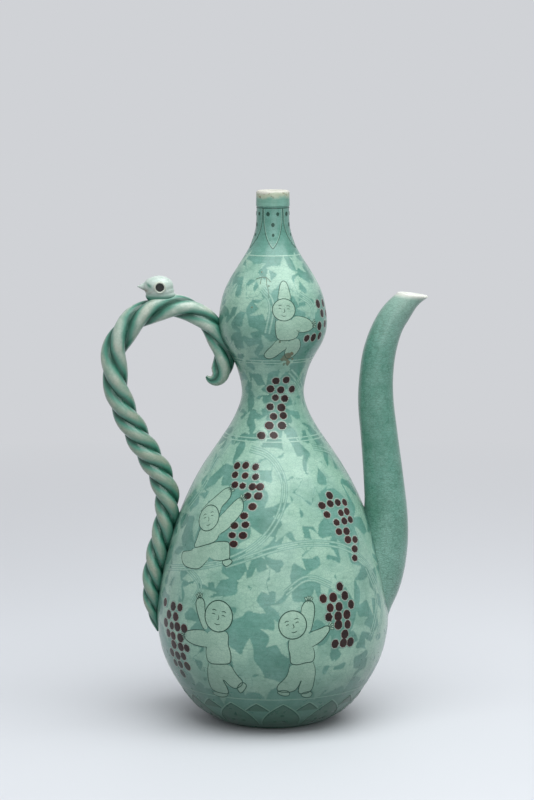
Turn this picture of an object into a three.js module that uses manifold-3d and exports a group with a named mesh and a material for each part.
// Gourd-shaped celadon ewer with a spout and a rope handle that carries a bird's head.
// Units are millimetres, +Z is up, the origin is the centre of the foot's resting face,
// the spout points along +X and the handle stands on the -X side.
// Each thrown or modelled piece is its own solid, joined to the next as the potter lutes them.
import * as THREE from 'three';
import { mergeVertices } from 'three/addons/utils/BufferGeometryUtils.js';
import Module from 'manifold-3d';

const wasm = await Module();
wasm.setup();

// Rises of the outline from each landmark to the next, above the foot
const FOOT_HEIGHT = 3;
const BELLY_RISE = 67.5;
const SHOULDER_RISE = 147;
const BULB_RISE = 44.5;
const NECK_RISE = 59.5;
const THROAT_RISE = 28.5;

// Radii at the foot and at the landmarks
const FOOT_REST_RADIUS = 33.5;
const FOOT_TOP_RADIUS = 37;
const BASE_RADIUS = 40.5;
const BELLY_RADIUS = 76.4;
const WAIST_RADIUS = 20.3;
const BULB_RADIUS = 35.3;
const NECK_RADIUS = 12;
const LIP_RADIUS = 10.4;

// Joint planes between the thrown pieces, measured from the landmarks
const COLLAR_BELOW_WAIST = 27.5;
const COLLAR_ABOVE_WAIST = 23;
const JOINT_BELOW_NECK = 9.5;
const LIP_RING_HEIGHT = 10.4;

// Walls
const BODY_WALL = 4.2;
const NECK_WALL = 3.2;
const FLOOR_THICKNESS = 5.5;
const LIP_ROUNDING = 1.2;
const SPOUT_WALL = 2.8;

// Clearances and joint slip
const JOINT_GAP = 0.3;
const ROPE_GAP = 0.5;
const SLIP_SPREAD = 2.2;
const SLIP_RISE = 2.6;

// Routes are lists of level, stand-off of the centre from the vessel's wall, and radius.
// A level's whole part counts the landmarks below it, its fraction is the share of the next rise.
const SPOUT_ROUTE = [
  [1.034, -14.6, 15.5],
  [1.148, -4.6, 15.5],
  [1.286, 4.4, 15],
  [1.422, 11.5, 14.2],
  [1.622, 22.4, 13.1],
  [1.803, 36.8, 12.2],
  [1.961, 46.4, 11.7],
  [2.243, 46, 11.1],
  [2.614, 41, 10.7],
  [2.984, 40.2, 9.8],
  [3.153, 46.8, 9.2],
  [3.345, 59.5, 6.9],
  [3.504, 74.6, 5.6],
];
const SPOUT_LIP_DROP = 7;
const POUR_HOLE_RADIUS = 7;
const POUR_HOLE_ABOVE_BELLY = 29.5;

const HANDLE_ROUTE = [
  [2.240, 21.8, 0.9],
  [2.196, 19.7, 2.8],
  [2.202, 16.3, 5.2],
  [2.267, 12.4, 6.8],
  [2.371, 9.2, 7.4],
  [2.506, 6, 7.4],
  [2.640, 3.4, 7.3],
  [2.787, 2.6, 7.3],
  [2.942, 4, 7.4],
  [3.044, 8.2, 7.6],
  [3.111, 13.2, 7.7],
  [3.170, 19.6, 7.9],
  [3.198, 27.4, 8.1],
  [3.192, 36, 8.3],
  [3.153, 45.4, 8.6],
  [3.054, 54.9, 8.9],
  [2.881, 63.4, 8.9],
  [2.672, 72.2, 8.9],
  [2.465, 78.9, 8.9],
  [1.997, 81.2, 8.8],
  [1.916, 73.6, 8.6],
  [1.826, 59.6, 8.6],
  [1.735, 42.8, 8.7],
  [1.645, 26.6, 8.7],
  [1.554, 14.8, 8.6],
  [1.473, 8.8, 8.4],
  [1.404, 6.6, 8],
  [1.327, 6.2, 7.8],
  [1.235, 6, 7.6],
  [1.144, 5.2, 7.4],
  [1.089, 4.3, 6.8],
  [1.044, 3.4, 5.9],
  [1.003, 2.4, 4.6],
  [0.919, 1.5, 3],
  [0.852, 0.9, 1.5],
  [0.815, 0.5, 0.7],
];
const STRAND_COUNT = 3;
const STRAND_LOBE_SHARE = 0.6;
const ARCH_PITCH = 75;
const LOWER_PITCH = 48;
const PITCH_CHANGE_START = 0.4;
const PITCH_CHANGE_END = 0.6;

// Bird's head: its place along the handle, and its parts' centres measured from the rope's centre there
const BIRD_SHARE = 0.261;
const HEAD_CENTRE = [0.4, 15];
const HEAD_HALF_LENGTH = 9.8;
const HEAD_HALF_WIDTH = 7;
const HEAD_HALF_HEIGHT = 6.7;
const BEAK_CENTRE = [-9.2, 14.5];
const BEAK_HALF_LENGTH = 4.9;
const BEAK_HALF_WIDTH = 2.5;
const BEAK_HALF_HEIGHT = 2.7;
const NECK_ROOT_CENTRE = [1.4, 8.8];
const NECK_ROOT_HALF_LENGTH = 9.4;
const NECK_ROOT_HALF_WIDTH = 5.8;
const NECK_ROOT_HALF_HEIGHT = 5;
const EYE_CENTRE = [1.2, 14];
const EYE_RADIUS = 2.8;
const EYE_WEB = 5;
const CHIN_NOTCH_CENTRE = [-10.2, 10.4];
const CHIN_NOTCH_RADIUS = 1.5;

// Facet counts
const TURNED_SIDES = 32;
const SPOUT_SIDES = 16;
const SPOUT_RINGS = 20;
const ROPE_RINGS = 84;
const LOBE_POINTS = 5;
const BIRD_SIDES = 16;

// Shape of the outline between the named sizes: share of the rise, share of the radius change
const BELLY_CURVE = [[0.089, 0.251], [0.267, 0.543], [0.541, 0.836], [0.785, 0.967]];
const SHOULDER_CURVE = [
  [0.119, 0.032], [0.276, 0.118], [0.446, 0.253], [0.616, 0.455],
  [0.745, 0.665], [0.833, 0.822], [0.922, 0.948],
];
const BULB_CURVE = [[0.2135, 0.08], [0.506, 0.393], [0.742, 0.793]];
const NECK_CURVE = [[0.1765, 0.03], [0.412, 0.193], [0.63, 0.506], [0.825, 0.811]];
const THROAT_CURVE = [[0.368, 0.78], [0.754, 0.875]];

// Points of one stretch of the outline, without its end
function stretch(start, end, curve) {
  const between = curve.map(([rise, change]) => [
    start[0] + (end[0] - start[0]) * rise,
    start[1] + (end[1] - start[1]) * change,
  ]);
  return [start, ...between];
}

const BELLY_HEIGHT = FOOT_HEIGHT + BELLY_RISE;
const WAIST_HEIGHT = BELLY_HEIGHT + SHOULDER_RISE;
const BULB_HEIGHT = WAIST_HEIGHT + BULB_RISE;
const NECK_HEIGHT = BULB_HEIGHT + NECK_RISE;
const RIM_HEIGHT = NECK_HEIGHT + THROAT_RISE;
const WAIST_JOINT = WAIST_HEIGHT - COLLAR_BELOW_WAIST;
const BULB_JOINT = WAIST_HEIGHT + COLLAR_ABOVE_WAIST;
const NECK_JOINT = NECK_HEIGHT - JOINT_BELOW_NECK;
const LIP_JOINT = RIM_HEIGHT - LIP_RING_HEIGHT;

const BASE = [FOOT_HEIGHT, BASE_RADIUS];
const BELLY = [BELLY_HEIGHT, BELLY_RADIUS];
const WAIST = [WAIST_HEIGHT, WAIST_RADIUS];
const BULB = [BULB_HEIGHT, BULB_RADIUS];
const NECK = [NECK_HEIGHT, NECK_RADIUS];
const RIM = [RIM_HEIGHT, LIP_RADIUS];
const LANDMARKS = [BASE, BELLY, WAIST, BULB, NECK, RIM];
const OUTLINE = [
  ...stretch(BASE, BELLY, BELLY_CURVE),
  ...stretch(BELLY, WAIST, SHOULDER_CURVE),
  ...stretch(WAIST, BULB, BULB_CURVE),
  ...stretch(BULB, NECK, NECK_CURVE),
  ...stretch(NECK, RIM, THROAT_CURVE),
  RIM,
];

function heightAt(level) {
  const below = Math.min(Math.floor(level), LANDMARKS.length - 2);
  return THREE.MathUtils.lerp(LANDMARKS[below][0], LANDMARKS[below + 1][0], level - below);
}

// Natural cubic through the outline, so that the wall has no kinks
function naturalCubic(stations) {
  const count = stations.length;
  const at = stations.map((station) => station[0]);
  const value = stations.map((station) => station[1]);
  const bend = new Array(count).fill(0);
  const carry = new Array(count).fill(0);
  for (let i = 1; i < count - 1; i += 1) {
    const share = (at[i] - at[i - 1]) / (at[i + 1] - at[i - 1]);
    const pivot = share * bend[i - 1] + 2;
    const slopeAbove = (value[i + 1] - value[i]) / (at[i + 1] - at[i]);
    const slopeBelow = (value[i] - value[i - 1]) / (at[i] - at[i - 1]);
    bend[i] = (share - 1) / pivot;
    carry[i] = (6 * (slopeAbove - slopeBelow) / (at[i + 1] - at[i - 1]) - share * carry[i - 1]) / pivot;
  }
  for (let i = count - 2; i >= 0; i -= 1) {
    bend[i] = bend[i] * bend[i + 1] + carry[i];
  }
  return (height) => {
    let low = 0;
    while (low < count - 2 && height > at[low + 1]) {
      low += 1;
    }
    const step = at[low + 1] - at[low];
    const a = (at[low + 1] - height) / step;
    const b = 1 - a;
    const curved = (a ** 3 - a) * bend[low] + (b ** 3 - b) * bend[low + 1];
    return a * value[low] + b * value[low + 1] + curved * step * step / 6;
  };
}

const wallRadius = naturalCubic(OUTLINE);

// Length of the wall's normal for one millimetre of radius
function wallSlant(height) {
  const reach = 0.5;
  const slope = (wallRadius(height + reach) - wallRadius(height - reach)) / (2 * reach);
  return Math.sqrt(1 + slope * slope);
}

function wallThickness(height) {
  const share = THREE.MathUtils.clamp((height - BULB_HEIGHT) / (NECK_JOINT - BULB_HEIGHT), 0, 1);
  return THREE.MathUtils.lerp(BODY_WALL, NECK_WALL, share);
}

function innerRadius(height) {
  return wallRadius(height) - wallThickness(height) * wallSlant(height);
}

// Heights of the outline's points from one joint plane to the next
function levels(from, to) {
  const spacing = 2;
  const inside = OUTLINE.map((station) => station[0]);
  return [from, ...inside.filter((height) => height > from + spacing && height < to - spacing), to];
}

// Solid from a closed geometry whose vertices are merged
function toSolid(geometry) {
  const bare = geometry.clone();
  bare.deleteAttribute('normal');
  bare.deleteAttribute('uv');
  const merged = mergeVertices(bare, 1e-4);
  const corners = Array.from(merged.index.array);
  const kept = [];
  for (let i = 0; i < corners.length; i += 3) {
    const [a, b, c] = corners.slice(i, i + 3);
    if (a !== b && b !== c && c !== a) {
      kept.push(a, b, c);
    }
  }
  return new wasm.Manifold(new wasm.Mesh({
    numProp: 3,
    vertProperties: new Float32Array(merged.attributes.position.array),
    triVerts: new Uint32Array(kept),
  }));
}

function toGeometry(solid) {
  const mesh = solid.getMesh();
  const geometry = new THREE.BufferGeometry();
  geometry.setAttribute('position', new THREE.BufferAttribute(mesh.vertProperties, 3));
  geometry.setIndex(new THREE.BufferAttribute(mesh.triVerts, 1));
  geometry.computeVertexNormals();
  return geometry;
}

// The largest body of a cut solid, without the crumbs a cut leaves
function largestBody(solid) {
  const bodies = solid.decompose();
  return bodies.reduce((best, body) => (body.volume() > best.volume() ? body : best));
}

// Turned solid from a profile of [radius, height] points
function turned(profile) {
  const points = profile.map(([radius, height]) => new THREE.Vector2(radius, height));
  const geometry = new THREE.LatheGeometry(points, TURNED_SIDES);
  geometry.rotateX(Math.PI / 2);
  return toSolid(geometry);
}

// Ring-shaped stretch of the wall between two joint planes
function wallRing(from, to) {
  const heights = levels(from, to);
  const outer = heights.map((height) => [wallRadius(height), height]);
  const inner = heights.map((height) => [innerRadius(height), height]).reverse();
  return turned([...outer, ...inner, outer[0]]);
}

// The whole vessel filled in and grown by an offset, as a cutter
function vesselBlock(offset) {
  const heights = levels(FOOT_HEIGHT, RIM_HEIGHT);
  const outer = heights.map((height) => [wallRadius(height) + offset * wallSlant(height), height]);
  return turned([[0, FOOT_HEIGHT], ...outer, [0, RIM_HEIGHT]]);
}

// Route in the XZ plane that keeps its stand-off from the wall, on one side of the vessel
function routeBeside(stations, side) {
  const centres = stations.map(([level, standOff]) => {
    const height = heightAt(level);
    return new THREE.Vector3(side * (wallRadius(height) + standOff), 0, height);
  });
  const radii = stations.map((station) => new THREE.Vector3(station[2], 0, 0));
  return {
    centre: new THREE.CatmullRomCurve3(centres, false, 'centripetal'),
    radius: new THREE.CatmullRomCurve3(radii, false, 'catmullrom', 0.5),
  };
}

// Solid swept along a route: section(radius, travelled) gives its points in the normal plane.
// The first side is split the other way, so that the walls of neighbouring strands match.
function swept(route, rings, section) {
  const positions = [];
  const length = route.centre.getLength();
  let sides = 0;
  for (let i = 0; i <= rings; i += 1) {
    const share = route.centre.getUtoTmapping(i / rings);
    const centre = route.centre.getPoint(share);
    const tangent = route.centre.getTangent(share);
    const radius = route.radius.getPoint(share).x;
    const points = section(radius, length * i / rings, length);
    sides = points.length;
    for (const [across, sideways] of points) {
      positions.push(centre.x + tangent.z * across, sideways, centre.z - tangent.x * across);
    }
  }
  const index = [];
  for (let i = 0; i < rings; i += 1) {
    for (let j = 0; j < sides; j += 1) {
      const a = i * sides + j;
      const b = i * sides + (j + 1) % sides;
      if (j === 0) {
        index.push(a, b, a + sides, b, b + sides, a + sides);
      } else {
        index.push(a, b, b + sides, a, b + sides, a + sides);
      }
    }
  }
  const last = rings * sides;
  for (let j = 1; j < sides - 1; j += 1) {
    index.push(0, j + 1, j);
    index.push(last, last + j, last + j + 1);
  }
  const geometry = new THREE.BufferGeometry();
  geometry.setAttribute('position', new THREE.Float32BufferAttribute(positions, 3));
  geometry.setIndex(index);
  return toSolid(geometry);
}

// Round section grown by an offset
function roundSection(offset) {
  return (radius) => {
    const points = [];
    for (let i = 0; i < SPOUT_SIDES; i += 1) {
      const angle = (i / SPOUT_SIDES) * 2 * Math.PI;
      points.push([(radius + offset) * Math.cos(angle), (radius + offset) * Math.sin(angle)]);
    }
    return points;
  };
}

function ellipsoid(centre, halfLength, halfWidth, halfHeight) {
  const geometry = new THREE.SphereGeometry(1, BIRD_SIDES, BIRD_SIDES / 2);
  geometry.scale(halfLength, halfHeight, halfWidth);
  geometry.rotateX(Math.PI / 2);
  geometry.translate(centre[0], 0, centre[1]);
  return toSolid(geometry);
}

// Round bar along Y with its middle set sideways, as a cutter for eyes and notches
function crossBar(centre, radius, length, sideways) {
  const geometry = new THREE.CylinderGeometry(radius, radius, length, BIRD_SIDES);
  geometry.translate(centre[0], sideways, centre[1]);
  return toSolid(geometry);
}

const spoutRoute = routeBeside(SPOUT_ROUTE, 1);
const handleRoute = routeBeside(HANDLE_ROUTE, -1);
const nearWall = vesselBlock(JOINT_GAP);

function makeFoot() {
  const profile = [
    [0, 0],
    [FOOT_REST_RADIUS, 0],
    [(FOOT_REST_RADIUS + FOOT_TOP_RADIUS) / 2, FOOT_HEIGHT / 3],
    [FOOT_TOP_RADIUS, FOOT_HEIGHT],
    [0, FOOT_HEIGHT],
  ];
  return turned(profile);
}

// Pear-shaped cup with the pour hole that feeds the spout
function makeLowerBody() {
  const floorTop = FOOT_HEIGHT + FLOOR_THICKNESS;
  const outer = levels(FOOT_HEIGHT, WAIST_JOINT).map((height) => [wallRadius(height), height]);
  const inner = levels(floorTop, WAIST_JOINT).map((height) => [innerRadius(height), height]).reverse();
  const cup = turned([[0, FOOT_HEIGHT], ...outer, ...inner, [0, floorTop]]);
  const hole = new THREE.CylinderGeometry(POUR_HOLE_RADIUS, POUR_HOLE_RADIUS, BELLY_RADIUS, BIRD_SIDES);
  hole.rotateZ(Math.PI / 2);
  hole.translate(BELLY_RADIUS, 0, BELLY_HEIGHT + POUR_HOLE_ABOVE_BELLY);
  return cup.subtract(toSolid(hole));
}

function makeLipRing() {
  const inner = innerRadius(LIP_JOINT);
  const top = RIM_HEIGHT - LIP_ROUNDING;
  const middle = (LIP_JOINT + RIM_HEIGHT) / 2;
  const bore = LIP_RADIUS - NECK_WALL;
  return turned([
    [wallRadius(LIP_JOINT), LIP_JOINT],
    [wallRadius(middle), middle],
    [wallRadius(top), top],
    [LIP_RADIUS - LIP_ROUNDING, RIM_HEIGHT],
    [bore + LIP_ROUNDING, RIM_HEIGHT],
    [bore, top],
    [inner, LIP_JOINT],
    [wallRadius(LIP_JOINT), LIP_JOINT],
  ]);
}

// Tube cut nearly level at the last station but one, its root fitted to the vessel's wall
function makeSpout() {
  const tube = swept(spoutRoute, SPOUT_RINGS, roundSection(0));
  const bore = swept(spoutRoute, SPOUT_RINGS, roundSection(-SPOUT_WALL));
  const lip = spoutRoute.centre.points.at(-2);
  const above = new THREE.BoxGeometry(BELLY_RADIUS, BELLY_RADIUS, BELLY_RADIUS);
  above.translate(0, 0, BELLY_RADIUS / 2);
  above.rotateY(THREE.MathUtils.degToRad(SPOUT_LIP_DROP));
  above.translate(lip.x, 0, lip.z);
  const hollow = tube.subtract(bore).subtract(toSolid(above));
  return largestBody(hollow.subtract(nearWall));
}

// Slip smeared round the joint of a swept piece with the wall
function makeLuting(route, rings, gap, from, to) {
  const spread = swept(route, rings, roundSection(SLIP_SPREAD));
  const room = swept(route, rings, roundSection(gap));
  const band = new THREE.BoxGeometry(4 * BELLY_RADIUS, 4 * BELLY_RADIUS, to - from);
  band.translate(0, 0, (from + to) / 2);
  const skin = vesselBlock(SLIP_RISE).intersect(toSolid(band));
  return largestBody(spread.intersect(skin).subtract(room).subtract(nearWall));
}

// Turns of the rope up to a travelled length, tighter on its lower part
function ropeTurns(travelled, length) {
  const steps = 24;
  let turns = 0;
  for (let i = 0; i < steps; i += 1) {
    const share = (i + 0.5) / steps * travelled / length;
    const blend = THREE.MathUtils.smoothstep(share, PITCH_CHANGE_START, PITCH_CHANGE_END);
    turns += travelled / steps / THREE.MathUtils.lerp(ARCH_PITCH, LOWER_PITCH, blend);
  }
  return turns;
}

// One strand: a wedge of the rope with a round outer lobe, wound left-handed
function makeStrand(number) {
  const halfWedge = Math.PI / STRAND_COUNT;
  const shift = JOINT_GAP / 2 / Math.sin(halfWedge);
  const section = (radius, travelled, length) => {
    const lobe = STRAND_LOBE_SHARE * radius;
    const offset = radius - lobe;
    const middle = 2 * Math.PI * (number / STRAND_COUNT - ropeTurns(travelled, length));
    const points = [[shift, 0]];
    for (let i = 0; i < LOBE_POINTS; i += 1) {
      const angle = THREE.MathUtils.lerp(-halfWedge, halfWedge, i / (LOBE_POINTS - 1));
      const across = offset * Math.sin(angle);
      const reach = offset * Math.cos(angle) + Math.sqrt(lobe * lobe - across * across);
      points.push([shift + reach * Math.cos(angle), reach * Math.sin(angle)]);
    }
    const cosine = Math.cos(middle);
    const sine = Math.sin(middle);
    return points.map(([x, y]) => [x * cosine - y * sine, x * sine + y * cosine]);
  };
  return largestBody(swept(handleRoute, ROPE_RINGS, section).subtract(nearWall));
}

// Bird's head seated on the rope, with a blind round eye in each side and a notch under the beak
function makeBirdHead() {
  const seat = handleRoute.centre.getPointAt(BIRD_SHARE);
  const fromSeat = ([along, up]) => [seat.x + along, seat.z + up];
  const head = ellipsoid(fromSeat(HEAD_CENTRE), HEAD_HALF_LENGTH, HEAD_HALF_WIDTH, HEAD_HALF_HEIGHT);
  const beak = ellipsoid(fromSeat(BEAK_CENTRE), BEAK_HALF_LENGTH, BEAK_HALF_WIDTH, BEAK_HALF_HEIGHT);
  const root = ellipsoid(
    fromSeat(NECK_ROOT_CENTRE),
    NECK_ROOT_HALF_LENGTH,
    NECK_ROOT_HALF_WIDTH,
    NECK_ROOT_HALF_HEIGHT,
  );
  const rope = swept(handleRoute, ROPE_RINGS, roundSection(ROPE_GAP));
  const across = 2 * HEAD_HALF_WIDTH;
  const notch = crossBar(fromSeat(CHIN_NOTCH_CENTRE), CHIN_NOTCH_RADIUS, across, 0);
  let shaped = head.add(beak).add(root).subtract(notch);
  for (const side of [-1, 1]) {
    const middle = side * (EYE_WEB + across) / 2;
    shaped = shaped.subtract(crossBar(fromSeat(EYE_CENTRE), EYE_RADIUS, across, middle));
  }
  return largestBody(shaped.subtract(rope));
}

const celadon = { color: 0x7aaa96, roughness: 0.22, metalness: 0 };
const ropeGlaze = { color: 0xa5b8a6, roughness: 0.25, metalness: 0 };
const whiteSlip = { color: 0xdedbcf, roughness: 0.4, metalness: 0 };
const bareRim = { color: 0xe6e2d6, roughness: 0.6, metalness: 0 };
const darkGlaze = { color: 0x5f8f7e, roughness: 0.22, metalness: 0 };

const ewer = new THREE.Group();

function addPiece(name, solid, finish) {
  const mesh = new THREE.Mesh(toGeometry(solid), new THREE.MeshStandardMaterial(finish));
  mesh.name = name;
  ewer.add(mesh);
}

addPiece('foot', makeFoot(), darkGlaze);
addPiece('lower_body', makeLowerBody(), celadon);
addPiece('waist_collar', wallRing(WAIST_JOINT, BULB_JOINT), celadon);
addPiece('upper_bulb', wallRing(BULB_JOINT, NECK_JOINT), celadon);
addPiece('neck', wallRing(NECK_JOINT, LIP_JOINT), celadon);
addPiece('lip_ring', makeLipRing(), bareRim);
addPiece('spout', makeSpout(), celadon);
addPiece('spout_luting', makeLuting(spoutRoute, SPOUT_RINGS, JOINT_GAP, FOOT_HEIGHT, WAIST_JOINT), darkGlaze);
for (let number = 1; number <= STRAND_COUNT; number += 1) {
  addPiece(`handle_strand_${number}`, makeStrand(number), ropeGlaze);
}
const upperLuting = makeLuting(handleRoute, ROPE_RINGS, ROPE_GAP, WAIST_HEIGHT, NECK_JOINT);
const lowerLuting = makeLuting(handleRoute, ROPE_RINGS, ROPE_GAP, BELLY_HEIGHT, WAIST_JOINT);
addPiece('handle_upper_luting', upperLuting, darkGlaze);
addPiece('handle_lower_luting', lowerLuting, darkGlaze);
addPiece('bird_head', makeBirdHead(), whiteSlip);

export default ewer;
